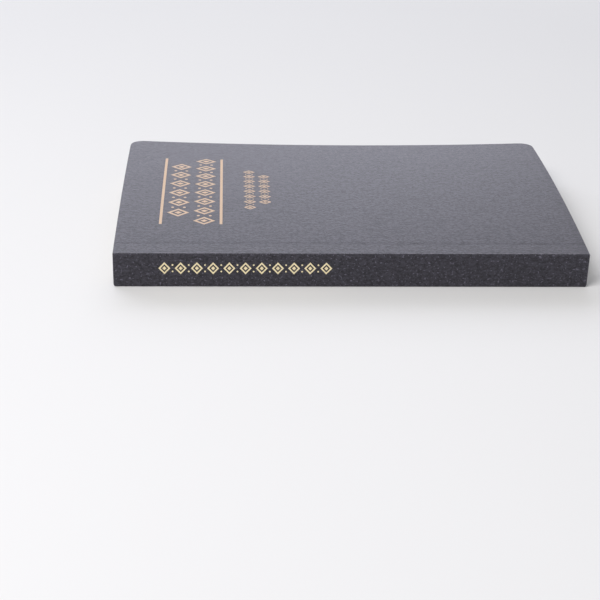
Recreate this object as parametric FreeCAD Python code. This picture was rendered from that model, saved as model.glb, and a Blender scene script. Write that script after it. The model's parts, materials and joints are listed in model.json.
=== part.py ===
"""A pocket New Testament: sixteen sewn sections in a limp, turned-in leatherette cover.

The book lies closed on its back cover. +X runs from head to tail along the spine, +Y from
the spine to the fore-edge, +Z is up, and the origin is the centre of the footprint. Inside
the functions, u is the distance from the spine's outer face, so y = u - book_width / 2.
"""

import FreeCAD, Part
import os

from FreeCAD import Vector

# Driving dimensions, in millimetres.
book_length = 150.0  # cover, head to tail
book_width = 100.0  # cover, spine to fore-edge
spine_height = 11.4  # closed thickness at the spine
cover_swell = 1.9  # rise of the front cover's middle above its edges
corner_curl = 1.4  # lift of the front cover's two free corners
corner_radius = 5.0  # the cover's fore-edge corners
spine_corner_radius = 1.0  # the two corners where the spine meets the back cover
square = 2.0  # how far the cover stands past the leaves at head and tail
fore_square = 2.5  # and at the fore-edge

# The cover: leatherette skin, card liner, and the skin's own edges turned in over the card.
skin = 0.55
liner_card = 0.35
turn_in_ply = 0.35
cover_thickness = skin + liner_card + turn_in_ply
turn_in = 12.0
edge_wall = 0.5  # skin left outside the liner where it wraps the edge
edge_round = 0.45
least_radius = 1.0  # of a corner drawn in from the cover's edge
joint_start = 3.0  # the liner stops here, so that the joint stays flexible
cloth_width = 12.0  # mull glued inside each cover
cloth_margin = 1.0  # it stops short of the turn-ins
cloth_corner_radius = 0.5

# The text block.
section_count = 16
paper = 0.1  # endpaper
body_gap = 0.15  # free air between the front leaves and the front cover
middle_gap = 0.1  # free air between the two halves of the text block
fold_start = 1.7  # section folds begin here
pastedown_start = 2.1
page_corner_radius = 4.0

# The spine, outermost first: skin, stiffener, kraft lining, mull, glue, thread.
lining_paper = 0.13
mull_cloth = 0.2
glue_film = 0.06
thread_diameter = 0.24
thread_gap = 0.1  # between the thread and the folds it is drawn against
spine_part_gap = 0.02
spine_part_margin = 0.1  # the linings stop this far above the back flyleaf
stiffener_margin = 1.1
mitre_gap = 0.04  # each side of the mitre between the cover and the spine

# Sewing and endbands.
link_count = 4
link_spacing = 24.0
link_length = 8.0
kettle_station = 62.0  # of the kettle stitches, from the middle of the spine
bead_radius = 0.7
bead_gap = 0.1  # between the bead and the leaves' ends
bead_tuck = 0.2  # how far the bead reaches back over its tab
band_tab = 6.0

# Worked out from the driving dimensions.
half_length = book_length / 2
page_half_length = half_length - square
page_edge = book_width - fore_square
back_flyleaf_z = cover_thickness + paper
back_block_z = back_flyleaf_z + paper
front_inner_z = spine_height - cover_thickness
front_flyleaf_top = front_inner_z - paper - body_gap
front_block_top = front_flyleaf_top - paper
section_thickness = (front_block_top - back_block_z - middle_gap) / section_count
half_count = section_count // 2
middle_z = back_block_z + half_count * section_thickness
thread_u = fold_start - thread_gap - thread_diameter / 2
spine_part_low = back_flyleaf_z + spine_part_margin

# Tools and raw stock run past the finished edges by these.
tall = 4 * spine_height
over = 1.0
layer_margin = 3.0
touching = 0.01  # closer than this counts as on a face


def at(x, u, z):
    """A point given by its distance from the spine's outer face."""
    return Vector(x, u - book_width / 2, z)


def block(half, u0, u1, z0, z1):
    """A plain box, centred on the book's length."""
    return Part.makeBox(2 * half, u1 - u0, z1 - z0, at(-half, u0, z0))


def rounded_slab(half, u0, u1, radius, z0, z1):
    """A slab with square corners at the spine and round ones at the fore-edge."""
    cut = radius * (1 - 0.5 ** 0.5)
    head_spine, tail_spine = at(-half, u0, z0), at(half, u0, z0)
    head_side, tail_side = at(-half, u1 - radius, z0), at(half, u1 - radius, z0)
    head_fore, tail_fore = at(-half + radius, u1, z0), at(half - radius, u1, z0)
    head_arc = Part.Arc(head_side, at(-half + cut, u1 - cut, z0), head_fore)
    tail_arc = Part.Arc(tail_fore, at(half - cut, u1 - cut, z0), tail_side)
    outline = Part.Wire([
        Part.makeLine(head_spine, head_side),
        head_arc.toShape(),
        Part.makeLine(head_fore, tail_fore),
        tail_arc.toShape(),
        Part.makeLine(tail_side, tail_spine),
        Part.makeLine(tail_spine, head_spine),
    ])
    return Part.Face(outline).extrude(Vector(0, 0, z1 - z0))


def bar_along_x(half, points):
    """A straight bar whose cross-section is the polygon of (u, z) points."""
    corners = [at(-half, u, z) for u, z in points]
    return Part.Face(Part.makePolygon(corners + corners[:1])).extrude(Vector(2 * half, 0, 0))


def cover_height(x, u):
    """Height of the closed front cover: it swells in the middle and curls at its free corners."""
    across = u / book_width
    along = x / half_length
    return spine_height + 4 * cover_swell * across * (1 - across) + corner_curl * (across * along) ** 2


def bernstein(low, middle, high):
    """The three Bezier ordinates of a parabola through three evenly spaced values."""
    return low, 2 * middle - (low + high) / 2, high


def cover_surface():
    """The front cover's outer surface, a biquadratic patch a little larger than the cover."""
    x_stops = (-half_length - layer_margin, 0.0, half_length + layer_margin)
    u_stops = (-layer_margin, book_width / 2, book_width + layer_margin)
    rows = [bernstein(*(cover_height(x, u) for u in u_stops)) for x in x_stops]
    surface = Part.BezierSurface()
    surface.increase(2, 2)
    for j, u in enumerate(u_stops):
        for i, z in enumerate(bernstein(*(row[j] for row in rows))):
            surface.setPole(i + 1, j + 1, at(x_stops[i], u, z))
    return surface.toShape()


def cover_layer(swollen, top, bottom):
    """All that lies between two depths under a cover's outer surface."""
    if swollen:
        face = cover_surface()
        face.translate(Vector(0, 0, -top))
        return face.extrude(Vector(0, 0, top - bottom))
    half = half_length + layer_margin
    return block(half, -layer_margin, book_width + layer_margin, spine_height - bottom, spine_height - top)


def inside(inset, u0=0.0):
    """The plan of a cover, drawn in by an inset from its three free edges."""
    radius = max(corner_radius - inset, least_radius)
    return rounded_slab(half_length - inset, u0, book_width - inset, radius, -tall, tall)


def mitre_wedge(side, gap):
    """All on one side of the 45 degree plane through the joint: -1 the spine's, 1 the cover's."""
    reach = 3 * cover_thickness
    z = spine_height
    u = -side * gap
    return bar_along_x(book_length, [(u, z), (u, z + reach), (u + side * 3 * reach, z + reach),
                                     (u + side * 3 * reach, z - reach), (u + reach, z - reach)])


def rim_edges(solid):
    """The edges round the outer face of a cover, which the skin wraps."""
    def on_outer_face(point):
        swollen = cover_height(point.x, point.y + book_width / 2) - point.z
        return min(abs(swollen), abs(spine_height - point.z)) < touching
    return [e for e in solid.Edges if all(on_outer_face(v.Point) for v in e.Vertexes)]


def spine_corner_edges(solid, along):
    """The edges at the spine's head and tail that run along "u" or "z" and are rounded there."""
    def is_corner(edge):
        box = edge.BoundBox
        at_end = box.XLength < touching and abs(abs(box.XMin) - half_length) < touching
        if along == "u":
            return at_end and box.ZMax < touching
        return at_end and box.YMax < touching - book_width / 2
    return [e for e in solid.Edges if is_corner(e)]


def cover_skin(swollen):
    """Skin of one cover: outer face, wrapped edges and turn-ins, with a pocket for the liner."""
    solid = cover_layer(swollen, 0, cover_thickness).common(inside(0))
    if not swollen:
        solid = solid.makeFillet(spine_corner_radius, spine_corner_edges(solid, "z"))
    solid = solid.makeFillet(edge_round, rim_edges(solid))
    pocket = cover_layer(swollen, skin, skin + liner_card).common(inside(edge_wall, -over))
    window = cover_layer(swollen, skin, cover_thickness + over).common(inside(turn_in, -over))
    return solid.cut(pocket).cut(window).cut(mitre_wedge(-1, mitre_gap))


def cover_pieces(swollen):
    """The pieces of one cover, as they lie in the front one."""
    card_top, card_bottom = skin, skin + liner_card
    cloth_end = joint_start + cloth_width
    gap = spine_part_gap
    filler_plan = inside(turn_in + gap, cloth_end + gap)
    cloth_half = half_length - turn_in - cloth_margin
    cloth_plan = rounded_slab(cloth_half, joint_start, cloth_end, cloth_corner_radius, -tall, tall)
    paper_plan = inside(fore_square, pastedown_start)
    inner = cover_layer(swollen, card_bottom, cover_thickness)
    return {
        "cover_leather": cover_skin(swollen),
        "liner": cover_layer(swollen, card_top, card_bottom).common(inside(edge_wall + gap, joint_start)),
        "infill": inner.common(filler_plan),
        "hinge_cloth": inner.common(cloth_plan),
        "pastedown": cover_layer(swollen, cover_thickness, cover_thickness + paper).common(paper_plan),
    }


def turned_over(solid):
    """A front cover piece as it lies in the back cover."""
    return solid.mirror(Vector(0, 0, spine_height / 2), Vector(0, 0, 1))


def leaf_face(start, z, swell):
    """The profile of a leaf's face from where its fold begins, swelling to an arc, and its first height."""
    end = page_edge + over
    far = -page_half_length - over
    if swell == 0:
        return Part.makeLine(at(far, start, z), at(far, end, z)), z
    middle = (fold_start + end) / 2
    half_chord = end - middle
    radius = (half_chord ** 2 + swell ** 2) / (2 * swell)

    def height(u):
        return z + swell - radius + (radius ** 2 - (u - middle) ** 2) ** 0.5

    points = [at(far, u, height(u)) for u in (start, middle, end)]
    return Part.Arc(*points).toShape(), height(start)


def leaves(z0, swell0, z1, swell1):
    """Folded leaves between two faces, with a round fold at the spine."""
    start = fold_start + (z1 - z0) / 2
    end = page_edge + over
    far = -page_half_length - over
    lower, low = leaf_face(start, z0, swell0)
    upper, high = leaf_face(start, z1, swell1)
    fold = Part.Arc(at(far, start, low), at(far, fold_start, (low + high) / 2), at(far, start, high))
    fore_edge = Part.makeLine(at(far, end, z1), at(far, end, z0))
    stack = Part.Face(Part.Wire([fold.toShape(), upper, fore_edge, lower])).extrude(Vector(-2 * far, 0, 0))
    return stack.common(rounded_slab(page_half_length, 0, page_edge, page_corner_radius, -tall, tall))


def sections():
    """The folded sections, the first at the front; the front half of them share the swell."""
    found = {}
    for number in range(1, section_count + 1):
        above = number - 1
        if number <= half_count:
            z1 = front_block_top - above * section_thickness
            swell1 = cover_swell * (half_count - above) / half_count
            swell0 = cover_swell * (half_count - number) / half_count
        else:
            z1 = middle_z - (above - half_count) * section_thickness
            swell1 = swell0 = 0
        found[f"section_{number:02d}"] = leaves(z1 - section_thickness, swell0, z1, swell1)
    return found


def spine_skin():
    """Skin over the spine, turned in at head and tail, mitred to both covers."""
    depth = cover_thickness
    solid = block(half_length, 0, depth, 0, spine_height)
    solid = solid.makeFillet(spine_corner_radius, spine_corner_edges(solid, "u"))
    outer = [e for e in solid.Edges if e.BoundBox.YMax < touching - book_width / 2]
    solid = solid.makeFillet(edge_round, outer)
    pocket = block(half_length - edge_wall, skin, skin + liner_card, -over, spine_height + over)
    window = block(half_length - turn_in, skin, depth + over, -over, spine_height + over)
    joint = mitre_wedge(1, mitre_gap)
    return solid.cut(pocket).cut(window).cut(joint).cut(turned_over(joint))


def thread(start, run):
    """A waxed thread pulled tight, six-sided, from one point along a run."""
    radius = thread_diameter / 2
    side = Vector(0, radius, 0)
    corners = [start + FreeCAD.Rotation(run, 60 * k).multVec(side) for k in range(7)]
    return Part.Face(Part.makePolygon(corners)).extrude(run)


def sewing():
    """Link stitches over every fold, and a kettle stitch near head and tail."""
    stitches = []
    for number in range(section_count):
        top = front_block_top if number < half_count else middle_z + half_count * section_thickness
        z = top - (number + 0.5) * section_thickness
        for link in range(link_count):
            x = (link - (link_count - 1) / 2) * link_spacing - link_length / 2
            stitches.append(thread(at(x, thread_u, z), Vector(link_length, 0, 0)))
    low, high = back_block_z + section_thickness / 2, front_block_top - section_thickness / 2
    for x in (-kettle_station, kettle_station):
        stitches.append(thread(at(x, thread_u, low), Vector(0, 0, high - low)))
    return Part.Compound(stitches)


def endband(end):
    """A bead along the end of the spine on a tab that is glued down; end is -1 at the head."""
    height = front_flyleaf_top - spine_part_low
    bead_x = end * (page_half_length + bead_radius + bead_gap)
    bead_u = fold_start + bead_radius - bead_tuck
    bead = Part.makeCylinder(bead_radius, height, at(bead_x, bead_u, spine_part_low))
    tab_start = end * (page_half_length - band_tab)
    tab_length = band_tab + bead_radius
    tab_low = min(tab_start, tab_start + end * tab_length)
    tab = Part.makeBox(tab_length, thread_diameter, height,
                       at(tab_low, thread_u - thread_diameter / 2, spine_part_low))
    return bead.fuse(tab).removeSplitter()


def spine_pieces():
    """What lies between the spine's skin and the folds, and the two endbands."""
    card_end = skin + liner_card
    lining_start = card_end + spine_part_gap
    lining_end = lining_start + lining_paper
    mull_end = lining_end + mull_cloth
    glue_start = cover_thickness + spine_part_gap
    low, high = spine_part_low, front_flyleaf_top
    card_half = half_length - edge_wall - spine_part_gap
    lining_half = half_length - turn_in - cloth_margin
    return {
        "spine_leather": spine_skin(),
        "spine_stiffener": block(card_half, skin, card_end, stiffener_margin, spine_height - stiffener_margin),
        "spine_lining_paper": block(lining_half, lining_start, lining_end, low, high),
        "spine_mull": block(lining_half, lining_end, mull_end, low, high),
        "spine_glue": block(page_half_length, glue_start, glue_start + glue_film, low, high),
        "sewing_thread": sewing(),
        "head_band": endband(-1),
        "tail_band": endband(1),
    }


def all_pieces():
    """Every piece of the book by name."""
    pieces = {}
    for name, solid in cover_pieces(True).items():
        pieces[f"front_{name}"] = solid
    for name, solid in cover_pieces(False).items():
        pieces[f"back_{name}"] = turned_over(solid)
    pieces["front_flyleaf"] = leaves(front_block_top, cover_swell, front_flyleaf_top, cover_swell)
    pieces["back_flyleaf"] = leaves(back_flyleaf_z, 0, back_block_z, 0)
    pieces.update(sections())
    pieces.update(spine_pieces())
    return pieces


os.makedirs("parts", exist_ok=True)
for name, shape in all_pieces().items():
    if not shape.isValid() or shape.Volume <= 0:
        raise ValueError(f"{name} is not a sound solid")
    shape.exportStep(f"parts/{name}.step")
    print(name, len(shape.Solids), "solids", round(shape.Volume, 1), "mm3")
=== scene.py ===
import json
from math import pi, radians

import bmesh
import bpy
import numpy as np
from bpy.props import FloatProperty, FloatVectorProperty, PointerProperty
from mathutils import Matrix, Vector


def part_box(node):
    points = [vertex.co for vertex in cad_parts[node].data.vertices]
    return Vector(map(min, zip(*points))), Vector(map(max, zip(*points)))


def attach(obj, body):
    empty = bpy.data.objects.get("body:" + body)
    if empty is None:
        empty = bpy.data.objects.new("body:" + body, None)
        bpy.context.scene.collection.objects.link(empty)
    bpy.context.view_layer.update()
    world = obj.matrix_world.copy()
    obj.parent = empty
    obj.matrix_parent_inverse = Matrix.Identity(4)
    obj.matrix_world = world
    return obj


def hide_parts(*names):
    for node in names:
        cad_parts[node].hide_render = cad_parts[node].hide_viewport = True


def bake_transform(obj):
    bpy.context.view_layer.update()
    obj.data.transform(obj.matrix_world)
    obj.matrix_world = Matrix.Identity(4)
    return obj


bl_info = {
    "name": "Limp-bound pocket testament",
    "version": (1, 0, 0),
    "blender": (4, 5, 0),
    "location": "3D View > Sidebar > Testament",
    "description": "Dresses the pieces of a thin sewn testament in a limp, gold-stamped cover",
    "category": "Object",
}

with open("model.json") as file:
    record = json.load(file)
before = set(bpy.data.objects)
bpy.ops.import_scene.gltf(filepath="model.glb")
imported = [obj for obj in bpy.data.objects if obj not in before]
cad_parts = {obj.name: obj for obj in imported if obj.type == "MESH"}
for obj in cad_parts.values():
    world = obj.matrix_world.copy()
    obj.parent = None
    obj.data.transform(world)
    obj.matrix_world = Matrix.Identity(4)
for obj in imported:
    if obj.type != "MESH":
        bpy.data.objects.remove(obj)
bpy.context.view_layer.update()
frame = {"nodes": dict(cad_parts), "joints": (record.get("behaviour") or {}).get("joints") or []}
joints = {joint["name"]: joint for joint in frame["joints"]}
MM = 0.001

# The book's own lines, in metres. u is the distance from the spine's outer face.
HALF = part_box("back_cover_leather")[1][0]
SPINE_Y = joints["spine_fold"]["pos_m"][1]
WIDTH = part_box("back_cover_leather")[1][1] - SPINE_Y
SPINE_TOP = joints["front_cover_hinge"]["pos_m"][2]
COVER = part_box("back_cover_leather")[1][2]
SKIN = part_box("back_liner")[0][2]
CARD_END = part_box("back_liner")[1][2]
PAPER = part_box("back_pastedown")[1][2] - COVER
PAGE_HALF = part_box("section_16")[1][0]
PAGE_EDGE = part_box("section_16")[1][1] - SPINE_Y
FOLD_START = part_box("section_16")[0][1] - SPINE_Y
LEAF_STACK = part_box("section_16")[1][2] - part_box("section_16")[0][2]
FRONT_BLOCK_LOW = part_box("section_08")[0][2]
FRONT_SECTIONS = 8
SECTIONS = 16
FRONT_BLOCK_HIGH = FRONT_BLOCK_LOW + FRONT_SECTIONS * LEAF_STACK

JOINT_REGION = 3 * MM       # finely divided skin beside a joint
FOLD_BEND = FOLD_START + 0.06 * MM      # where the endpapers' folds begin to bend
PASTED_LEG = 1.2 * MM       # how far an endpaper's fold runs along the pasted-down half
FREE_LEG = 0.1 * MM         # and along the flyleaf
BAND_CORE = 0.7 * MM        # radius of an endband's core
BAND_THREAD = 0.15 * MM     # radius of the thread wound on it
TRIM_SEED = 7


# ---- sizes and colours

def length(name, description, default):
    return FloatProperty(name=name, description=description, default=default, unit="LENGTH", precision=5)


def colour(name, description, default):
    return FloatVectorProperty(name=name, description=description, default=default, subtype="COLOR",
                               size=3, min=0, max=1)


class TestamentCover(bpy.types.PropertyGroup):
    swell: length("Swell", "Rise of the front cover's middle above its edges", 1.9 * MM)
    curl: length("Corner curl", "Lift of the front cover's two free corners", 1.4 * MM)
    corner: length("Corner radius", "Radius of the cover's fore-edge corners", 5 * MM)
    edge_round: length("Edge round", "Radius of the skin where it wraps the card", 0.45 * MM)
    turn_in: length("Turn-in", "Width of skin turned in over the card", 12 * MM)
    wall: length("Edge wall", "Skin left outside the card at the edges", 0.5 * MM)
    spine_corner: length("Spine corner radius", "Radius of the spine's two lower corners", 1.0 * MM)
    crease: length("Crease", "Width of skin that bends at each joint", 0.25 * MM)
    hinge_line: length("Hinge line", "From the spine to the line pressed in by opening", 6.4 * MM)
    hinge_depth: length("Hinge line depth", "Depth of that line", 0.07 * MM)


class TestamentLeaves(bpy.types.PropertyGroup):
    corner: length("Page corner radius", "Radius of the leaves' fore-edge corners", 4 * MM)
    gutter: FloatProperty(name="Gutter", default=0.25, subtype="FACTOR", min=0.1, max=3,
                          description="Width of leaf that bends, over its height above the hinge")
    unevenness: length("Trim unevenness", "How far one section's edge may stand past another's", 0.05 * MM)
    thickness: length("Leaf thickness", "Thickness of one leaf", 0.032 * MM)


class TestamentStamping(bpy.types.PropertyGroup):
    rule_width: length("Rule width", "Width of a stamped rule", 0.9 * MM)
    rule_length: length("Rule length", "Length of the rules either side of the large ornaments", 59 * MM)
    foil: length("Foil height", "How far the foil stands clear of the skin", 0.02 * MM)
    spine_height: length("Spine row height", "Height of the spine's ornaments", 4.1 * MM)
    spine_lift: length("Spine row lift", "Height of the row's middle above the table", 6.4 * MM)
    spine_run: length("Spine row length", "Length of the spine's row of ornaments", 54.7 * MM)
    head_margin: length("Head margin", "From the head to the first rule and the spine's row", 14 * MM)
    rule_gap: length("Rule gap", "From a rule's middle to the row beside it", 1.9 * MM)
    tall_gap: length("Tall row gap", "Between the two rows of large ornaments", 1.4 * MM)
    small_gap: length("Small row gap", "Between the two rows of small ornaments", 0.9 * MM)
    small_start: length("Small rows' start", "From the last rule to the first small row's middle", 9.6 * MM)
    tall: length("Tall row height", "Height of the cover's large ornaments", 7.2 * MM)
    small: length("Small row height", "Height of the cover's small ornaments", 4.2 * MM)


class TestamentColours(bpy.types.PropertyGroup):
    skin: colour("Skin", "Leatherette", (0.0300, 0.0283, 0.0374))
    foil: colour("Foil", "Stamping foil on the spine", (1.0, 0.89, 0.61))
    # Painted shade: the front cover's foil is a darker, duller copy of the spine's foil colour, standing in
    # for how light falls on the cover.
    rubbed: colour("Rubbed foil", "Stamping foil on the handled front cover", (0.67, 0.50, 0.37))
    page: colour("Page", "Thin page paper", (0.83, 0.775, 0.655))
    endpaper: colour("Endpaper", "Endpapers", (0.84, 0.82, 0.75))
    board: colour("Card", "Liner card", (0.34, 0.32, 0.27))
    kraft: colour("Kraft", "Spine lining", (0.32, 0.19, 0.09))
    cloth: colour("Mull", "Open-weave mull", (0.72, 0.69, 0.60))
    glue: colour("Glue", "Dried glue", (0.74, 0.68, 0.47))
    thread: colour("Thread", "Linen thread", (0.84, 0.82, 0.76))
    floor: colour("Floor", "Floor under the book", (0.82, 0.82, 0.83))
    backdrop: colour("Backdrop", "White that the floor runs into", (0.9, 0.9, 0.91))


class TestamentStage(bpy.types.PropertyGroup):
    lens: FloatProperty(name="Lens", description="Focal length on a 36 mm sensor, in millimetres",
                        default=85.56)
    camera: FloatVectorProperty(name="Camera place", description="Where the camera stands", size=3,
                                subtype="TRANSLATION", default=(-0.03956, -0.45557, 0.19328))
    heading: FloatProperty(name="Heading", description="Turn of the view to the right of +Y",
                           subtype="ANGLE", default=radians(3.275))
    pitch: FloatProperty(name="Pitch", description="Tilt of the view below level", subtype="ANGLE",
                         default=radians(25.972))
    roll: FloatProperty(name="Roll", description="Turn of the camera about its view", subtype="ANGLE",
                        default=radians(1.48))
    ambient: FloatProperty(name="Ambient light", description="Strength of the light from all round",
                           default=0.36)
    key: FloatProperty(name="Key light", description="Power of the overhead soft light", subtype="POWER",
                       default=5.2)
    window: FloatProperty(name="Window light", description="Power of the broad light behind the book",
                          subtype="POWER", default=38.0)


class Testament(bpy.types.PropertyGroup):
    cover: PointerProperty(type=TestamentCover)
    leaves: PointerProperty(type=TestamentLeaves)
    stamping: PointerProperty(type=TestamentStamping)
    colours: PointerProperty(type=TestamentColours)
    stage: PointerProperty(type=TestamentStage)


def sizes():
    return bpy.context.scene.testament


def chosen(name):
    """The colour of that name."""
    return tuple(getattr(sizes().colours, name))


# ---- mesh helpers

class Shell:
    """Collects points and faces, then makes one closed mesh."""

    def __init__(self):
        self.points = []
        self.faces = []

    def add(self, points):
        """Adds an array of points and returns their numbers in the same layout."""
        points = np.asarray(points, float)
        first = sum(len(p) for p in self.points)
        flat = points.reshape(-1, 3)
        self.points.append(flat)
        return (first + np.arange(len(flat))).reshape(points.shape[:-1])

    def strip(self, a, b):
        """Faces between two rows of as many points."""
        for i in range(len(a) - 1):
            self.faces.append((a[i], a[i + 1], b[i + 1], b[i]))

    def grid(self, points):
        """A surface over rows and columns of points."""
        numbers = self.add(points)
        for a, b in zip(numbers[:-1], numbers[1:]):
            self.strip(a, b)
        return numbers

    def slab(self, upper, lower):
        """A closed slab between two surfaces of as many rows and columns."""
        a = self.grid(upper)
        b = self.grid(lower)
        for end in (0, -1):
            self.strip(a[end], b[end])
            self.strip(a[:, end], b[:, end])

    def make(self, name, fill=True):
        """The finished object, closed and with its faces pointing outwards."""
        mesh = bpy.data.meshes.new(name)
        mesh.from_pydata(np.concatenate(self.points).tolist(), [], [tuple(map(int, f)) for f in self.faces])
        bm = bmesh.new()
        bm.from_mesh(mesh)
        bmesh.ops.remove_doubles(bm, verts=bm.verts, dist=1e-7)
        if fill:
            rim = [e for e in bm.edges if e.is_boundary]
            if rim:
                bmesh.ops.triangle_fill(bm, use_beauty=True, use_dissolve=False, edges=rim)
        bmesh.ops.recalc_face_normals(bm, faces=bm.faces)
        bm.to_mesh(mesh)
        bm.free()
        obj = bpy.data.objects.new(name, mesh)
        bpy.context.scene.collection.objects.link(obj)
        return obj


def finish_piece(obj, material, angle=40):
    """Gives a piece its material, smooth faces with crisp edges, and a record of where it was made."""
    obj.data.materials.clear()
    obj.data.materials.append(material)
    obj.data.polygons.foreach_set("use_smooth", [True] * len(obj.data.polygons))
    obj.data.set_sharp_from_angle(angle=radians(angle))
    place = obj.data.attributes.new("as_made", "FLOAT_VECTOR", "POINT")
    corners = np.empty(len(obj.data.vertices) * 3)
    obj.data.vertices.foreach_get("co", corners)
    place.data.foreach_set("vector", corners)
    return obj


def even(start, end, count):
    return np.linspace(start, end, count)


def repeated(values, columns):
    """One value for each row, the same in all its columns."""
    return np.repeat(values[:, None], len(columns), 1)


# ---- shapes made by geometry nodes

def add_node(tree, kind, inputs=None, **settings):
    """Adds a node, sets it and feeds its inputs: each with a value, a socket or a list of sockets."""
    node = tree.nodes.new(kind)
    for key, value in settings.items():
        setattr(node, key, value)
    for key, value in (inputs or {}).items():
        if isinstance(value, (list, bpy.types.NodeSocket)):
            for source in value if isinstance(value, list) else [value]:
                tree.links.new(source, node.inputs[key])
        else:
            node.inputs[key].default_value = value
    return node


def math_node(tree, operation, a, b=0.0):
    return add_node(tree, "ShaderNodeMath", {0: a, 1: b}, operation=operation).outputs[0]


SOCKET_KINDS = {int: "NodeSocketInt", float: "NodeSocketFloat", tuple: "NodeSocketVector",
                type(None): "NodeSocketMaterial"}


class Recipe:
    """A geometry tree under construction. Among its named inputs, None stands for a material."""

    def __init__(self, name, inputs):
        self.tree = bpy.data.node_groups.new(name, "GeometryNodeTree")
        sockets = self.tree.interface
        sockets.new_socket(name="Geometry", in_out="INPUT", socket_type="NodeSocketGeometry")
        for label, default in inputs.items():
            socket = sockets.new_socket(name=label, in_out="INPUT", socket_type=SOCKET_KINDS[type(default)])
            if default is not None:
                socket.default_value = default
        sockets.new_socket(name="Geometry", in_out="OUTPUT", socket_type="NodeSocketGeometry")
        self.given = self.tree.nodes.new("NodeGroupInput").outputs

    def make(self, kind, inputs=None, **settings):
        return add_node(self.tree, "GeometryNode" + kind, inputs, **settings).outputs[0]

    def math(self, operation, a, b):
        return math_node(self.tree, operation, a, b)

    def vector(self, x=0.0, y=0.0, z=0.0):
        return add_node(self.tree, "ShaderNodeCombineXYZ", {0: x, 1: y, 2: z}).outputs[0]

    def close(self, geometry):
        """Sends the finished geometry out and returns the tree."""
        self.tree.links.new(geometry, self.tree.nodes.new("NodeGroupOutput").inputs[0])
        return self.tree


def bow_tree(name):
    """Raises a flat piece to the swell and the corner curl of the closed front cover."""
    recipe = Recipe(name, {
        "Swell": 0.0, "Curl": 0.0, "Start": 0.0, "Span": 1.0, "Half length": 1.0, "Low": -1.0, "High": 0.0})
    get, math = recipe.given, recipe.math
    place = recipe.make("InputPosition")
    x, y, z = add_node(recipe.tree, "ShaderNodeSeparateXYZ", {0: place}).outputs
    across = math("DIVIDE", math("SUBTRACT", y, get["Start"]), get["Span"])
    along = math("DIVIDE", x, get["Half length"])
    arch = math("MULTIPLY", across, math("SUBTRACT", 1.0, across))
    swell = math("MULTIPLY", math("MULTIPLY", arch, 4.0), get["Swell"])
    corner = math("POWER", math("MULTIPLY", across, along), 2.0)
    curl = math("MULTIPLY", corner, get["Curl"])
    depth = math("SUBTRACT", get["High"], get["Low"])
    share = math("DIVIDE", math("SUBTRACT", z, get["Low"]), depth)
    limited = math("MAXIMUM", math("MINIMUM", share, 1.0), 0.0)
    rise = math("MULTIPLY", math("ADD", swell, curl), limited)
    lift = recipe.vector(z=rise)
    return recipe.close(recipe.make("SetPosition", {"Geometry": get["Geometry"], "Offset": lift}))


def apply_tree(obj, build, values):
    """Runs a geometry tree, built the first time, on an object and keeps the result as a plain mesh."""
    tree = bpy.data.node_groups.get(build.__name__) or build(build.__name__)
    modifier = obj.modifiers.new(tree.name, "NODES")
    modifier.node_group = tree
    for item in tree.interface.items_tree:
        if item.in_out == "INPUT" and item.name in values:
            modifier[item.identifier] = values[item.name]
    bpy.context.view_layer.update()
    evaluated = obj.evaluated_get(bpy.context.evaluated_depsgraph_get())
    mesh = bpy.data.meshes.new_from_object(evaluated)
    old = obj.data
    obj.modifiers.clear()
    obj.data = mesh
    bpy.data.meshes.remove(old)
    mesh.name = obj.name
    return obj


def bow_cover(obj):
    """Bows a piece of the front cover, whole depth alike."""
    cover = sizes().cover
    return apply_tree(obj, bow_tree, {
        "Swell": cover.swell, "Curl": cover.curl, "Start": SPINE_Y, "Span": WIDTH, "Half length": HALF,
        "Low": -1.0, "High": 0.0})


def bow_leaves(obj):
    """Bows leaves in proportion to their height above the middle of the book."""
    return apply_tree(obj, bow_tree, {
        "Swell": sizes().cover.swell, "Curl": 0.0, "Start": SPINE_Y + FOLD_START,
        "Span": PAGE_EDGE + MM - FOLD_START, "Half length": HALF, "Low": FRONT_BLOCK_LOW,
        "High": FRONT_BLOCK_HIGH})


def lozenge(recipe, scale):
    """A diamond outline, scaled about its middle."""
    half = recipe.math("MULTIPLY", recipe.given["Height"], 0.5 * scale)
    width = recipe.math("MULTIPLY", recipe.given["Width"], scale)
    return recipe.make("CurvePrimitiveQuadrilateral", {
        "Width": width, "Bottom Height": half, "Top Height": half}, mode="KITE")


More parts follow.
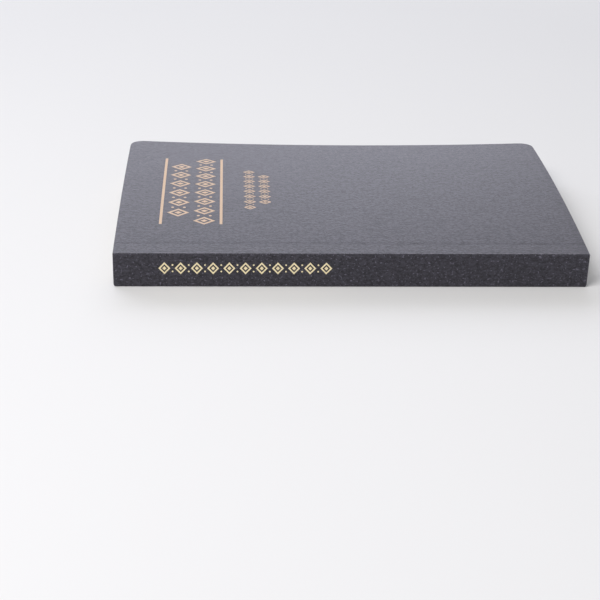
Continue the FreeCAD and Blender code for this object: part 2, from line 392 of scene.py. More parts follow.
def ornament_tree(name):
    """A row of open lozenges, each with a small one inside, and a pair of dots between neighbours."""
    recipe = Recipe(name, {
        "Count": 5, "Pitch": 1.0, "Width": 1.0, "Height": 1.0, "Dot": 0.1, "Foil": 0.001,
        "Turn": (0.0, 0.0, 0.0), "Place": (0.0, 0.0, 0.0), "Finish": None})
    get, make, math = recipe.given, recipe.make, recipe.math
    large = make("JoinGeometry", {0: [lozenge(recipe, scale) for scale in (1.0, 0.66, 0.34)]})
    dot = make("CurvePrimitiveCircle", {"Resolution": 12, "Radius": get["Dot"]})
    dots = []
    for way in (-0.27, 0.27):
        aside = recipe.vector(y=math("MULTIPLY", get["Height"], way))
        dots.append(make("Transform", {"Geometry": dot, "Translation": aside}))
    small = make("JoinGeometry", {0: dots})

    rows = []
    for shape, fewer in ((large, 0.0), (small, 1.0)):
        count = math("SUBTRACT", get["Count"], fewer)
        run = math("MULTIPLY", math("SUBTRACT", count, 1.0), get["Pitch"])
        first = recipe.vector(x=math("MULTIPLY", run, -0.5))
        step = recipe.vector(x=get["Pitch"])
        line = make("MeshLine", {"Count": count, "Start Location": first, "Offset": step})
        filled = make("FillCurve", {"Curve": shape})
        rows.append(make("InstanceOnPoints", {"Points": line, "Instance": filled}))
    flat = make("RealizeInstances", {0: make("JoinGeometry", {0: rows})})
    thick = math("MULTIPLY", get["Foil"], 2.0)
    raised = make("ExtrudeMesh", {"Mesh": flat, "Offset Scale": thick, "Individual": False})
    under = make("FlipFaces", {"Mesh": flat})
    both = make("JoinGeometry", {0: [raised, under]})
    closed = make("MergeByDistance", {"Geometry": both, "Distance": 1e-7})
    moved = make("Transform", {"Geometry": closed, "Translation": get["Place"], "Rotation": get["Turn"]})
    return recipe.close(make("SetMaterial", {"Geometry": moved, "Material": get["Finish"]}))


def wraps_tree(name):
    """Rings of thread stacked up an endband's core."""
    recipe = Recipe(name, {
        "Count": 20, "Pitch": 0.0004, "Core": 0.0007, "Thread": 0.0001, "Place": (0.0, 0.0, 0.0),
        "Finish": None})
    get, make = recipe.given, recipe.make
    ring = make("CurvePrimitiveCircle", {"Resolution": 18, "Radius": get["Core"]})
    section = make("CurvePrimitiveCircle", {"Resolution": 6, "Radius": get["Thread"]})
    strand = make("CurveToMesh", {"Curve": ring, "Profile Curve": section})
    step = recipe.vector(z=get["Pitch"])
    line = make("MeshLine", {"Count": get["Count"], "Start Location": get["Place"], "Offset": step})
    stack = make("InstanceOnPoints", {"Points": line, "Instance": strand})
    flat = make("RealizeInstances", {0: stack})
    return recipe.close(make("SetMaterial", {"Geometry": flat, "Material": get["Finish"]}))


def empty_piece(name):
    """An object with an empty mesh, for a tree to fill."""
    obj = bpy.data.objects.new(name, bpy.data.meshes.new(name))
    bpy.context.scene.collection.objects.link(obj)
    return obj


# ---- materials

class Look:
    """A material under construction."""

    def __init__(self, name):
        self.material = bpy.data.materials.new(name)
        self.material.use_nodes = True
        self.tree = self.material.node_tree
        self.shader = self.tree.nodes["Principled BSDF"]

    def node(self, kind, inputs=None, **settings):
        return add_node(self.tree, kind, inputs, **settings)

    def set(self, **values):
        """Sets the shader's inputs, each with a value or a socket."""
        for key, value in values.items():
            socket = self.shader.inputs[key.replace("_", " ")]
            if isinstance(value, bpy.types.NodeSocket):
                self.tree.links.new(value, socket)
            else:
                socket.default_value = value

    def as_made(self):
        """Where a point of a piece lay before the piece bent."""
        return self.node("ShaderNodeAttribute", attribute_name="as_made").outputs["Vector"]

    def place(self):
        return self.node("ShaderNodeTexCoord").outputs["Object"]

    def scaled(self, vector, scale):
        return self.node("ShaderNodeMapping", {"Vector": vector, "Scale": scale}).outputs[0]

    def noise(self, vector, scale, detail=2.0, roughness=0.5):
        return self.node("ShaderNodeTexNoise", {
            "Vector": vector, "Scale": scale, "Detail": detail, "Roughness": roughness}).outputs["Fac"]

    def math(self, operation, a, b=0.0):
        return math_node(self.tree, operation, a, b)

    def vectors(self, operation, inputs):
        return self.node("ShaderNodeVectorMath", inputs, operation=operation).outputs[0]

    def weighed(self, a, share_a, b, share_b):
        """The sum of two values, each times its share."""
        return self.math("ADD", self.math("MULTIPLY", a, share_a), self.math("MULTIPLY", b, share_b))

    def waves(self, vector, scale, distortion, way):
        return self.node("ShaderNodeTexWave", {"Vector": vector, "Scale": scale, "Distortion": distortion},
                         bands_direction=way).outputs["Fac"]

    def spread(self, value, low, high, to_low=0.0, to_high=1.0):
        """Stretches low to high over to_low to to_high, and holds values past either end."""
        return self.node("ShaderNodeMapRange", {
            "Value": value, "From Min": low, "From Max": high,
            "To Min": to_low, "To Max": to_high}).outputs[0]

    def between(self, factor, a, b):
        """A mix of two colours, each a tint or a socket."""
        ends = [end if isinstance(end, bpy.types.NodeSocket) else (*end, 1) for end in (a, b)]
        return self.node("ShaderNodeMix", {0: factor, 6: ends[0], 7: ends[1]}, data_type="RGBA").outputs[2]

    def dye(self, factor, tint, dark, pale=1.0):
        """Colours the surface from a dark shade of a tint to a pale one."""
        self.set(Base_Color=self.between(factor, shade(tint, dark), shade(tint, pale)))

    def bump(self, height, distance, strength=1.0):
        raised = self.node("ShaderNodeBump", {"Height": height, "Distance": distance, "Strength": strength})
        self.set(Normal=raised.outputs[0])


def shade(tint, factor):
    return tuple(min(1.0, channel * factor) for channel in tint)


def finish(name, dress_look, *choices):
    """Returns the material of that name, made by one of the functions below the first time."""
    material = bpy.data.materials.get(name)
    if not material:
        look = Look(name)
        dress_look(look, *choices)
        material = look.material
    return material


def leather_look(look):
    """Black leatherette: pebbles between fine creases over soft wrinkles, boldest on the spine, with
    painted shade in the creases and painted glints on the spine's pebble tops.
    """
    place = look.as_made()
    warp = look.node("ShaderNodeTexNoise", {
        "Vector": place, "Scale": 450.0, "Detail": 2.0}).outputs["Color"]
    centred = look.vectors("SUBTRACT", {0: warp, 1: (0.5, 0.5, 0.5)})
    shift = look.vectors("SCALE", {0: centred, "Scale": 1.0 * MM})
    bent = look.vectors("ADD", {0: place, 1: shift})
    pebbles = []
    for scale in (800.0, 1700.0):
        field = look.noise(look.scaled(bent, (0.6, 1.0, 1.0)), scale, 1.5)
        from_crease = look.math("ABSOLUTE", look.math("SUBTRACT", field, 0.5))
        pebbles.append(look.math("POWER", look.spread(from_crease, 0.0, 0.13), 0.7))
    grain = look.weighed(pebbles[0], 0.55, pebbles[1], 0.45)
    wrinkles = look.noise(look.scaled(place, (0.35, 1.0, 1.0)), 900.0, 3.0, 0.6)
    relief = look.weighed(grain, 0.7, wrinkles, 1.1)
    y = look.node("ShaderNodeSeparateXYZ", {0: place}).outputs[1]
    on_spine = look.spread(y, SPINE_Y + 0.1 * MM, SPINE_Y + 0.6 * MM, 1.0, 0.0)
    height = look.math("MULTIPLY", relief, look.math("ADD", look.math("MULTIPLY", on_spine, 2.5), 1.0))
    skin = chosen("skin")
    # Painted shade: the base colour runs from near black in the creases to lighter pebble tops.
    tone = look.spread(grain, 0.1, 0.9)
    skin_with_painted_shade = look.between(tone, shade(skin, 0.05), shade(skin, 1.35))
    # Painted glints: bright specks of base colour on the spine's pebble tops, where the light would catch
    # them.
    painted_glints = look.math("MULTIPLY", look.spread(look.noise(bent, 1500.0, 1.0), 0.62, 0.72), on_spine)
    look.set(Base_Color=look.between(painted_glints, skin_with_painted_shade, shade(skin, 4.0)))
    look.set(Roughness=look.spread(grain, 0.1, 0.9, 0.56, 0.50))
    look.set(IOR=1.5, Specular_Tint=(0.92, 0.90, 1.0, 1.0))
    look.set(Sheen_Weight=0.22, Sheen_Roughness=0.35, Sheen_Tint=(0.80, 0.77, 1.0, 1.0))
    look.bump(height, 0.055 * MM, 1.0)


def foil_look(look, tint, metal):
    """Gold foil that takes a little of the grain beneath it."""
    place = look.as_made()
    broken = look.noise(place, 2600.0, 4.0, 0.6)
    look.dye(look.spread(broken, 0.35, 0.65), tint, 0.82)
    look.set(Metallic=metal, Roughness=look.spread(broken, 0.3, 0.7, 0.6, 0.8), IOR=1.3)
    look.bump(look.noise(place, 1150.0, 3.0, 0.6), 0.12 * MM, 1.0)


def paper_look(look, tint, lines=False):
    """Uncoated paper; lines adds the fine edges of stacked leaves, on the faces that leaf_edge marks."""
    place = look.place()
    fibre = look.noise(place, 2400.0, 4.0, 0.65)
    cloud = look.noise(place, 45.0, 2.0, 0.5)
    tone = look.weighed(fibre, 0.9, cloud, 0.1)
    height = fibre
    if lines:
        leaf = sizes().leaves.thickness
        stacked = look.scaled(look.as_made(), (12.0, 12.0, 0.08 / leaf))
        edges = look.noise(stacked, 1.0, 5.0, 0.75)
        marked = look.node("ShaderNodeAttribute", attribute_name="leaf_edge").outputs["Fac"]
        darker = look.math("MULTIPLY", look.spread(edges, 0.7, 0.35), marked)
        tone = look.math("SUBTRACT", tone, look.math("MULTIPLY", darker, 0.4))
        height = look.math("ADD", fibre, look.math("MULTIPLY", edges, look.math("MULTIPLY", marked, 4.0)))
    look.dye(look.spread(tone, 0.1, 0.7), tint, 0.74)
    look.set(Roughness=0.82, Specular_IOR_Level=0.3)
    look.bump(height, 0.03 * MM, 0.5)


def board_look(look):
    """Grey card with flecks of fibre."""
    place = look.place()
    fleck = look.noise(look.scaled(place, (700.0, 1500.0, 1500.0)), 1.0, 5.0, 0.7)
    look.dye(look.spread(fleck, 0.35, 0.65), chosen("board"), 0.72)
    look.set(Roughness=0.88)
    look.bump(fleck, 0.03 * MM, 0.6)


def kraft_look(look):
    """Brown kraft paper with its fine ribbing."""
    place = look.place()
    rib = look.waves(place, 180.0, 1.2, "X")
    fibre = look.noise(place, 1800.0, 4.0, 0.6)
    tone = look.weighed(rib, 0.3, fibre, 0.7)
    look.dye(tone, chosen("kraft"), 0.75, 1.15)
    look.set(Roughness=0.7)
    look.bump(tone, 0.02 * MM, 0.5)


def cloth_look(look):
    """Open-weave mull: threads both ways with dark gaps between them."""
    place = look.place()
    weave = look.math("MAXIMUM", *(look.waves(place, 250.0, 0.4, way) for way in ("X", "Y")))
    look.dye(look.spread(weave, 0.35, 0.8), chosen("cloth"), 0.45)
    look.set(Roughness=0.9, Sheen_Weight=0.3)
    look.bump(weave, 0.08 * MM, 0.8)


def glue_look(look):
    """Dried amber glue, slightly uneven."""
    place = look.place()
    pool = look.noise(place, 420.0, 4.0, 0.6)
    look.dye(look.spread(pool, 0.3, 0.7), chosen("glue"), 0.7)
    look.set(Roughness=look.spread(pool, 0.3, 0.7, 0.25, 0.5))
    look.bump(pool, 0.08 * MM, 0.7)


def thread_look(look, made_here=False):
    """Twisted linen thread."""
    place = look.as_made() if made_here else look.place()
    twist = look.waves(look.scaled(place, (1.0, 0.6, 1.0)), 900.0, 1.0, "DIAGONAL")
    look.dye(twist, chosen("thread"), 0.7)
    look.set(Roughness=0.75, Sheen_Weight=0.25)
    look.bump(twist, 0.05 * MM, 0.8)


def floor_look(look):
    """A plain pale floor that runs into the white background far from the book."""
    place = look.place()
    cloud = look.noise(place, 3.0, 3.0, 0.5)
    look.dye(look.spread(cloud, 0.3, 0.7), chosen("floor"), 0.985)
    look.set(Roughness=0.9, Specular_IOR_Level=0.1)
    away = look.node("ShaderNodeVectorMath", {0: place}, operation="LENGTH").outputs["Value"]
    seen = look.node("ShaderNodeLightPath").outputs["Is Camera Ray"]
    fade = look.math("MULTIPLY", look.spread(away, 0.3, 0.9), seen)
    backdrop = (*chosen("backdrop"), 1)
    white = look.node("ShaderNodeEmission", {"Color": backdrop, "Strength": 1.0}).outputs[0]
    mix = look.node("ShaderNodeMixShader", {0: fade, 1: look.shader.outputs[0], 2: white}).outputs[0]
    look.tree.links.new(mix, look.tree.nodes["Material Output"].inputs["Surface"])


# ---- the cover's skin

def seam_path(depth, edge_round):
    """Distances and depths of a sheet's first rows as it leaves the mitre at a joint.

    The outer face starts on a rounded corner; anything deeper than that round starts on the mitre itself.
    """
    arc_rows = 13
    arc = even(pi / 4, pi / 2, arc_rows)
    if depth < edge_round:
        radius = edge_round - depth
        away = edge_round - radius * np.cos(arc)
        down = edge_round - radius * np.sin(arc)
        start = edge_round
    else:
        away = depth + even(0, 0.35 * MM, arc_rows)
        down = np.full(arc_rows, depth)
        start = away[-1]
    straight = even(start, JOINT_REGION, 14)[1:]
    return np.concatenate([away, straight]), np.concatenate([down, np.full(len(straight), depth)])


def corner_cut(away, inset, cover):
    """How much a row near the spine's lower edge is shortened at each end by the rounded corners there."""
    radius = max(cover.spine_corner - inset, 0.0)
    short = np.clip(radius - away, 0.0, radius)
    return radius - np.sqrt(radius ** 2 - short ** 2)


def cover_rows(inset, depth, cover):
    """Rows of a cover sheet from its joint to its fore-edge: distance, depth and half length of each."""
    radius = max(cover.corner - inset, 0.6 * MM)
    away, down = seam_path(depth, cover.edge_round)
    corner_start = WIDTH - inset - radius
    fine_end = 10 * MM
    middle = np.concatenate([even(JOINT_REGION, fine_end, 20)[1:], even(fine_end, corner_start, 28)[1:]])
    turn = even(0, pi / 2, 12)[1:]
    corner = corner_start + radius * np.sin(turn)
    away = np.concatenate([away, middle, corner])
    down = np.concatenate([down, np.full(len(middle) + len(corner), depth)])
    if depth < SKIN / 2:
        line = cover.hinge_line
        pressed = np.interp(away, (MM, line, line + 0.3 * MM, line + 1.5 * MM), (0, 1, 1, 0))
        down = down + cover.hinge_depth * (1 - depth / SKIN * 2) * pressed
    half = np.full(len(away), HALF - inset)
    half[-len(corner):] = HALF - inset - radius + radius * np.cos(turn)
    return away, down, half


def back_rows(inset, depth, cover):
    """Rows of the back cover's sheet: rounded where it meets the spine's ends, with no hinge line."""
    away, down, half = cover_rows(inset, depth, cover)
    return away, np.where(away > 2 * MM, depth, down), half - corner_cut(away, inset, cover)


def spine_rows(inset, depth, cover):
    """Rows of the spine's sheet from its lower joint to its upper one."""
    away, down = seam_path(depth, cover.edge_round)
    middle = even(JOINT_REGION, SPINE_TOP - JOINT_REGION, 8)[1:-1]
    back = (SPINE_TOP - away)[::-1]
    away = np.concatenate([away, middle, back])
    down = np.concatenate([down, np.full(len(middle), depth), down[::-1]])
    return away, down, HALF - inset - corner_cut(away, inset, cover)


def wrap_profile(cover):
    """Inset and depth of the skin as it wraps the card's edge and turns in over it."""
    outer, inner = cover.edge_round, 0.25 * MM
    over = even(0, pi / 2, 7)
    under = even(0, pi / 2, 4)
    profile = [(outer - outer * np.sin(a), outer - outer * np.cos(a)) for a in over]
    profile += [(inner - inner * np.cos(a), COVER - inner + inner * np.sin(a)) for a in under]
    profile += [(inset, COVER) for inset in (1.5 * MM, 4 * MM, 8 * MM, cover.turn_in)]
    profile += [(inset, CARD_END) for inset in (cover.turn_in, 8 * MM, 4 * MM, cover.wall)]
    profile += [(cover.wall, SKIN)]
    return profile


def skin_sheet(name, rows, place, open_end):
    """One panel of skin: its outer face, its inner face and the wrapped edge between them."""
    cover = sizes().cover
    shell = Shell()
    columns = even(-1, 1, 49)

    def layer(inset, depth):
        away, down, half = rows(inset, depth, cover)
        return place(half[:, None] * columns, repeated(away, columns), repeated(down, columns))

    def rim(points):
        """The free edge of a layer, as one row of points or as two."""
        if open_end:
            return [points[:, 0], points[::-1, -1]]
        return [np.concatenate([points[:, 0], points[-1, 1:-1], points[::-1, -1]])]

    profile = wrap_profile(cover)
    outer = layer(*profile[0])
    inner = layer(*profile[-1])
    shell.grid(outer)
    shell.grid(inner)
    loops = [rim(layer(inset, depth)) for inset, depth in profile]
    for parts in zip(*loops):
        numbers = [shell.add(part) for part in parts]
        for a, b in zip(numbers[:-1], numbers[1:]):
            shell.strip(a, b)
    return finish_piece(shell.make(name), finish("leatherette", leather_look), 50)


def lay_front(x, away, down):
    return np.stack([x, SPINE_Y + away, SPINE_TOP - down], -1)


def lay_back(x, away, down):
    return np.stack([x, SPINE_Y + away, down], -1)


def stand_spine(x, away, down):
    return np.stack([x, SPINE_Y + down, away], -1)


class TESTAMENT_OT_cover_skin(bpy.types.Operator):
    """Makes the leatherette over the front, the spine and the back, turned in over its card"""
    bl_idname = "testament.cover_skin"
    bl_label = "Cover skin"

    def execute(self, context):
        front = bow_cover(skin_sheet("front_skin", cover_rows, lay_front, False))
        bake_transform(front)

        spine = skin_sheet("spine_skin", spine_rows, stand_spine, True)
        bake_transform(spine)

        back = skin_sheet("back_skin", back_rows, lay_back, False)
        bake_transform(back)

        panels = {"front_cover_leather": front, "spine_leather": spine, "back_cover_leather": back}
        for node, piece in panels.items():
            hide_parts(node)
        return {"FINISHED"}


# ---- leaves and endpapers


def page_rows(inset, low, high, radius):
    """Rows of a stack of leaves from fold to fore-edge: distance, lower and upper height, half length."""
    fold = (high - low) / 2
    turn = even(pi / 2, 0, 7)
    away = FOLD_START + fold * (1 - np.sin(turn))
    bottom = low + fold - fold * np.cos(turn)
    top = high - fold + fold * np.cos(turn)
    near = even(away[-1], away[-1] + sizes().leaves.gutter * SPINE_TOP / 2 + 0.4 * MM, 26)[1:]
    end = PAGE_EDGE - inset
    middle = even(near[-1], end - radius, 20)[1:]
    around = even(0, pi / 2, 10)[1:]
    corner = end - radius + radius * np.sin(around)
    flat = np.concatenate([near, middle, corner])
    away = np.concatenate([away, flat])
    bottom = np.concatenate([bottom, np.full(len(flat), low)])
    top = np.concatenate([top, np.full(len(flat), high)])
    half = np.full(len(away), PAGE_HALF - inset)
    half[-len(corner):] = PAGE_HALF - inset - radius + radius * np.cos(around)
    return away, bottom, top, half


def stack_of_leaves(name, inset, low, high, material):
    """A closed stack of folded leaves, with its trimmed edges marked for the paper's look."""
    away, bottom, top, half = page_rows(inset, low, high, sizes().leaves.corner)
    columns = even(-1, 1, 9)
    x = half[:, None] * columns
    shell = Shell()
    y = repeated(SPINE_Y + away, columns)
    lower, upper = (shell.grid(np.stack([x, y, repeated(z, columns)], -1)) for z in (bottom, top))
    for side in (0, -1):
        shell.strip(lower[1:, side], upper[1:, side])
        shell.faces.append((lower[0, side], lower[1, side], upper[1, side]))
    shell.strip(lower[-1], upper[-1])
    stack = finish_piece(shell.make(name, fill=False), material)
    marks = stack.data.attributes.new("leaf_edge", "FLOAT", "FACE")
    normals = [face.normal for face in stack.data.polygons]
    marks.data.foreach_set("value", [float(max(abs(normal.x), normal.y) > 0.5) for normal in normals])
    return stack


class TESTAMENT_OT_leaves(bpy.types.Operator):
    """Makes the sewn sections and the two flyleaves, each rounded at the gutter"""
    bl_idname = "testament.leaves"
    bl_label = "Leaves"

    def execute(self, context):
        uneven = np.random.default_rng(TRIM_SEED).uniform(0, sizes().leaves.unevenness, SECTIONS)
        page = finish("page_paper", paper_look, chosen("page"), True)
        endpaper = finish("flyleaf_paper", paper_look, chosen("endpaper"))
        for number in range(1, SECTIONS + 1):
            front = number <= FRONT_SECTIONS
            if front:
                high = FRONT_BLOCK_HIGH - (number - 1) * LEAF_STACK
            else:
                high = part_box(f"section_{number:02d}")[1][2]
            low = high - LEAF_STACK
            stack = stack_of_leaves(f"leaves_{number:02d}", uneven[number - 1], low, high, page)
            if front:
                bow_leaves(stack)
            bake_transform(stack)
            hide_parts(f"section_{number:02d}")
        for side, body in (("front", "front_leaves"), ("back", "back")):
            low = FRONT_BLOCK_HIGH if side == "front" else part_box("back_flyleaf")[0][2]
            leaf = stack_of_leaves(f"{side}_free_endpaper", 0.0, low, low + PAPER, endpaper)
            if side == "front":
                bow_leaves(leaf)
            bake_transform(leaf)
            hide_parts(f"{side}_flyleaf")
        return {"FINISHED"}


def paper_fold(name, path, half):
    """A strip of endpaper of even thickness along a path of (u, z) points."""
    path = np.asarray(path, float)
    along = np.gradient(path, axis=0)
    along /= np.linalg.norm(along, axis=1)[:, None]
    aside = np.stack([-along[:, 1], along[:, 0]], -1) * PAPER * 0.45
    columns = even(-half, half, 5)

    def side(points):
        rows = np.stack([np.full(len(points), 0.0), SPINE_Y + points[:, 0], points[:, 1]], -1)
        grid = np.repeat(rows[:, None, :], len(columns), 1)
        grid[:, :, 0] = columns
        return grid

    shell = Shell()
    shell.slab(side(path + aside), side(path - aside))
    return shell.make(name, fill=False)


class TESTAMENT_OT_endpapers(bpy.types.Operator):
    """Finishes the pasted-down endpapers and makes the folds that join them to the flyleaves"""
    bl_idname = "testament.endpapers"
    bl_label = "Endpapers"

    def execute(self, context):
        pasted_paper = finish("pasted_paper", paper_look, chosen("endpaper"))
        for side in ("front", "back"):
            dress(f"{side}_pastedown", pasted_paper)
        flyleaf = FRONT_BLOCK_HIGH + PAPER / 2
        pasted = SPINE_TOP - COVER - PAPER / 2
        middle = (flyleaf + pasted) / 2
        slope = 4 * sizes().cover.swell / WIDTH
        lower = self.path(flyleaf, middle, FREE_LEG)
        upper = self.path(pasted, middle, PASTED_LEG, slope)
        self.strip("front_joint_paper_lower", lower, "spine", "front_leaves")
        self.strip("front_joint_paper_upper", upper[::-1], "front_leaves", "front_cover")
        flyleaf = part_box("back_flyleaf")[0][2] + PAPER / 2
        pasted = COVER + PAPER / 2
        middle = (flyleaf + pasted) / 2
        outer = self.path(pasted, middle, PASTED_LEG)
        inner = self.path(flyleaf, middle, FREE_LEG)
        self.strip("back_joint_paper", outer + inner[::-1][1:], "back", "spine")
        return {"FINISHED"}

    def path(self, leg_height, middle, leg, slope=0.0):
        """From the end of a leg lying on a leaf or a cover to the middle of the fold at its spine edge."""
        reach = leg_height - middle
        straight = [(u, leg_height + slope * (u - FOLD_START))
                    for u in even(FOLD_BEND + leg, FOLD_BEND, 4)[:-1]]
        arc = [(FOLD_BEND - abs(reach) * np.sin(a), middle + reach * np.cos(a))
               for a in even(0, pi / 2, 10)]
        return straight + arc

    def strip(self, name, path, first, second):
        """A strip of endpaper along its path; first and second, the bodies at the path's start and end, are
        not used.
        """
        piece = paper_fold(name, path, PAGE_HALF - 0.2 * MM)
        finish_piece(piece, finish("flyleaf_paper", paper_look, chosen("endpaper")))
        heights = [z for u, z in path if u < FOLD_BEND + 0.01 * MM]
        start, end = (Vector((0, SPINE_Y, z)) for z in (heights[0], heights[-1]))
        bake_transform(piece)
        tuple(start)
        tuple(end)


# ---- stamping

def ornament_row(name, count, run, height, turn, place, foil):
    """A stamped row as long as run, with its middle at place."""
    pitch = run / (count - 0.2)
    row = empty_piece(name)
    return apply_tree(row, ornament_tree, {
        "Count": count, "Pitch": pitch, "Width": 0.74 * pitch, "Height": height, "Dot": 0.07 * height,
        "Foil": sizes().stamping.foil, "Turn": turn, "Place": place, "Finish": foil})


def cover_rule(name, x):
    """A stamped rule across the front cover, at x along its length."""
    stamping = sizes().stamping
    wide = x + stamping.rule_width * even(-0.5, 0.5, 3)
    long = SPINE_Y + WIDTH / 2 + stamping.rule_length * even(-0.5, 0.5, 61)
    grid_x, grid_y = np.meshgrid(wide, long, indexing="ij")
    shell = Shell()
    shell.slab(*(np.stack([grid_x, grid_y, np.full_like(grid_x, SPINE_TOP + rise)], -1)
                 for rise in (stamping.foil, -stamping.foil)))
    return shell.make(name, fill=False)


class TESTAMENT_OT_stamping(bpy.types.Operator):
    """Stamps rules and rows of lozenges on the front cover, and a row of them on the spine"""
    bl_idname = "testament.stamping"
    bl_label = "Gold stamping"

    def execute(self, context):
        stamping = sizes().stamping
        head = -HALF + stamping.head_margin
        middle = SPINE_Y + WIDTH / 2
        ground = SPINE_TOP - stamping.foil
        first_row = head + stamping.rule_gap + stamping.tall / 2
        second_row = first_row + stamping.tall + stamping.tall_gap
        last_rule = second_row + stamping.tall / 2 + stamping.rule_gap
        first_small = last_rule + stamping.small_start
        second_small = first_small + stamping.small + stamping.small_gap
        turned = (0.0, 0.0, pi / 2)
        # Painted shade: the cover's foil takes that darker colour and less metal than the spine's foil.
        cover_foil = finish("cover_foil", foil_look, chosen("rubbed"), 0.2)
        spine_foil = finish("spine_foil", foil_look, chosen("foil"), 0.7)
        pieces = [cover_rule("stamped_rule_head", head), cover_rule("stamped_rule_tail", last_rule)]
        rows = (("large_ornaments_upper", 6, 48 * MM, stamping.tall, first_row),
                ("large_ornaments_lower", 8, 60 * MM, stamping.tall, second_row),
                ("small_ornaments_upper", 8, 36 * MM, stamping.small, first_small),
                ("small_ornaments_lower", 6, 27 * MM, stamping.small, second_small))
        for name, count, run, height, x in rows:
            pieces.append(ornament_row(name, count, run, height, turned, (x, middle, ground), cover_foil))
        for piece in pieces:
            finish_piece(bow_cover(piece), cover_foil)
            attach(piece, "front_cover")
        run = stamping.spine_run
        place = (head + run / 2, SPINE_Y + stamping.foil, stamping.spine_lift)
        upright = (pi / 2, 0.0, 0.0)
        row = ornament_row("spine_ornaments", 11, run, stamping.spine_height, upright, place, spine_foil)
        finish_piece(row, spine_foil)
        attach(row, "spine")
        return {"FINISHED"}


class TESTAMENT_OT_endbands(bpy.types.Operator):
    """Winds the thread that covers the head band and the tail band"""
    bl_idname = "testament.endbands"
    bl_label = "Endbands"

    def execute(self, context):
        thread = finish("linen_thread", thread_look, True)
        for node in ("head_band", "tail_band"):
            low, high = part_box(node)
            x = low[0] + BAND_CORE if node == "head_band" else high[0] - BAND_CORE
            y = high[1] - BAND_CORE
            count = int((high[2] - low[2]) / (2 * BAND_THREAD)) - 1
            pitch = (high[2] - low[2] - 2 * BAND_THREAD) / (count - 1)
            wraps = apply_tree(empty_piece(f"{node}_wraps"), wraps_tree, {
                "Count": count, "Pitch": pitch, "Core": BAND_CORE, "Thread": BAND_THREAD,
                "Place": (x, y, low[2] + BAND_THREAD), "Finish": thread})
            finish_piece(wraps, thread, 70)
            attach(wraps, "spine")
        return {"FINISHED"}


# ---- inner pieces

def dress(node, material):
    """Gives a CAD piece its finish."""
    obj = frame["nodes"][node]
    obj.data.materials.clear()
    obj.data.materials.append(material)


class TESTAMENT_OT_linings(bpy.types.Operator):
    """Finishes the card, cloth, kraft, glue and thread inside the cover and the spine"""
    bl_idname = "testament.linings"
    bl_label = "Linings"

    def execute(self, context):
        card = finish("grey_card", board_look)
        cloth = finish("mull", cloth_look)
        thread = finish("linen_thread_inside", thread_look)
        for side in ("front", "back"):
            dress(f"{side}_liner", card)
            dress(f"{side}_infill", card)
            dress(f"{side}_hinge_cloth", cloth)
        dress("spine_stiffener", card)
        dress("spine_lining_paper", finish("kraft_paper", kraft_look))
        dress("spine_mull", cloth)
        dress("spine_glue", finish("dried_glue", glue_look))
        for node in ("sewing_thread", "head_band", "tail_band"):
            dress(node, thread)
        return {"FINISHED"}


# ---- stage

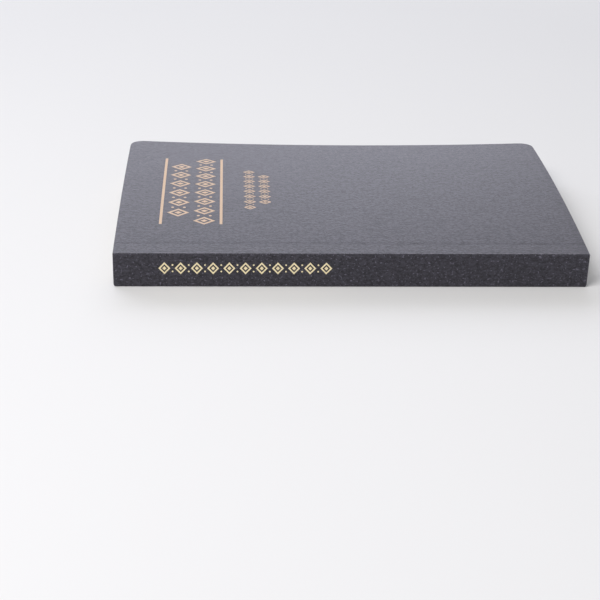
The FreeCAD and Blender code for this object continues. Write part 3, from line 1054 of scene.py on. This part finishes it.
class TESTAMENT_OT_stage(bpy.types.Operator):
    """Sets the floor, the soft light and the camera"""
    bl_idname = "testament.stage"
    bl_label = "Stage"

    def execute(self, context):
        stage = sizes().stage
        self.floor()
        self.world(stage)
        self.lamps(stage)
        self.camera(stage)
        context.scene.view_settings.view_transform = "Standard"
        return {"FINISHED"}

    def floor(self):
        side = 4.0
        shell = Shell()
        steps = even(-side, side, 9)
        x, y = np.meshgrid(steps, steps, indexing="ij")
        shell.grid(np.stack([x, y, np.zeros_like(x)], -1))
        floor = shell.make("floor", fill=False)
        floor.data.materials.append(finish("pale_floor", floor_look))
        if floor.data.polygons[0].normal.z < 0:
            floor.data.flip_normals()

    def world(self, stage):
        world = bpy.data.worlds.new("soft_room")
        bpy.context.scene.world = world
        world.use_nodes = True
        tree = world.node_tree
        light = tree.nodes["Background"]
        light.inputs["Color"].default_value = (1.0, 1.0, 1.0, 1)
        light.inputs["Strength"].default_value = stage.ambient
        backdrop = (*chosen("backdrop"), 1)
        seen = add_node(tree, "ShaderNodeBackground", {"Color": backdrop, "Strength": 1.0}).outputs[0]
        ray = add_node(tree, "ShaderNodeLightPath").outputs
        either = math_node(tree, "MAXIMUM", ray["Is Camera Ray"], ray["Is Glossy Ray"])
        any_sight = math_node(tree, "MAXIMUM", either, ray["Is Transmission Ray"])
        mix = add_node(tree, "ShaderNodeMixShader", {0: any_sight, 1: light.outputs[0], 2: seen}).outputs[0]
        tree.links.new(mix, tree.nodes["World Output"].inputs["Surface"])

    def lamps(self, stage):
        self.lamp("overhead_softbox", stage.key, tint=(1.0, 0.98, 0.95), size=(0.5, 0.5),
                  place=(-0.4, -0.36, 0.75), aim=(0, 0, 0))
        self.lamp("window", stage.window, tint=(0.87, 0.89, 1.0), size=(3.2, 1.2),
                  place=(-0.7, 1.9, 1.1), aim=(0, 0.1, 0))

    def lamp(self, name, power, tint, size, place, aim):
        data = bpy.data.lights.new(name, "AREA")
        data.color = tint
        data.shape = "RECTANGLE"
        data.size, data.size_y = size
        data.energy = power
        obj = bpy.data.objects.new(name, data)
        obj.location = place
        obj.rotation_euler = (Vector(aim) - obj.location).to_track_quat("-Z", "Y").to_euler()
        bpy.context.scene.collection.objects.link(obj)

    def camera(self, stage):
        data = bpy.data.cameras.new("camera")
        data.lens = stage.lens
        data.sensor_width = 36.0
        data.clip_start = 0.01
        obj = bpy.data.objects.new("camera", data)
        turn = (Matrix.Rotation(-stage.heading, 4, "Z") @ Matrix.Rotation(pi / 2 - stage.pitch, 4, "X")
                @ Matrix.Rotation(stage.roll, 4, "Z"))
        obj.matrix_world = Matrix.Translation(Vector(stage.camera)) @ turn
        bpy.context.scene.collection.objects.link(obj)
        bpy.context.scene.camera = obj


# ---- panel and running

STEPS = (TESTAMENT_OT_cover_skin, TESTAMENT_OT_stamping, TESTAMENT_OT_leaves, TESTAMENT_OT_endpapers,
         TESTAMENT_OT_endbands, TESTAMENT_OT_linings, TESTAMENT_OT_stage)


class TESTAMENT_PT_panel(bpy.types.Panel):
    """Lists the steps and the sizes"""
    bl_idname = "TESTAMENT_PT_panel"
    bl_label = "Testament"
    bl_space_type = "VIEW_3D"
    bl_region_type = "UI"
    bl_category = "Testament"

    def draw(self, context):
        for step in STEPS:
            self.layout.operator(step.bl_idname)
        for group in ("cover", "leaves", "stamping", "colours", "stage"):
            box = self.layout.box()
            box.label(text=group.capitalize())
            settings = getattr(context.scene.testament, group)
            for name in settings.bl_rna.properties.keys():
                if name not in ("rna_type", "name"):
                    box.prop(settings, name)


CLASSES = (TestamentCover, TestamentLeaves, TestamentStamping, TestamentColours, TestamentStage, Testament,
           *STEPS, TESTAMENT_PT_panel)


def register():
    for cls in CLASSES:
        bpy.utils.register_class(cls)
    bpy.types.Scene.testament = PointerProperty(type=Testament)


def unregister():
    del bpy.types.Scene.testament
    for cls in reversed(CLASSES):
        bpy.utils.unregister_class(cls)


def main():
    register()
    for step in STEPS:
        group, name = step.bl_idname.split(".")
        getattr(getattr(bpy.ops, group), name)()


if __name__ == "__main__":
    main()
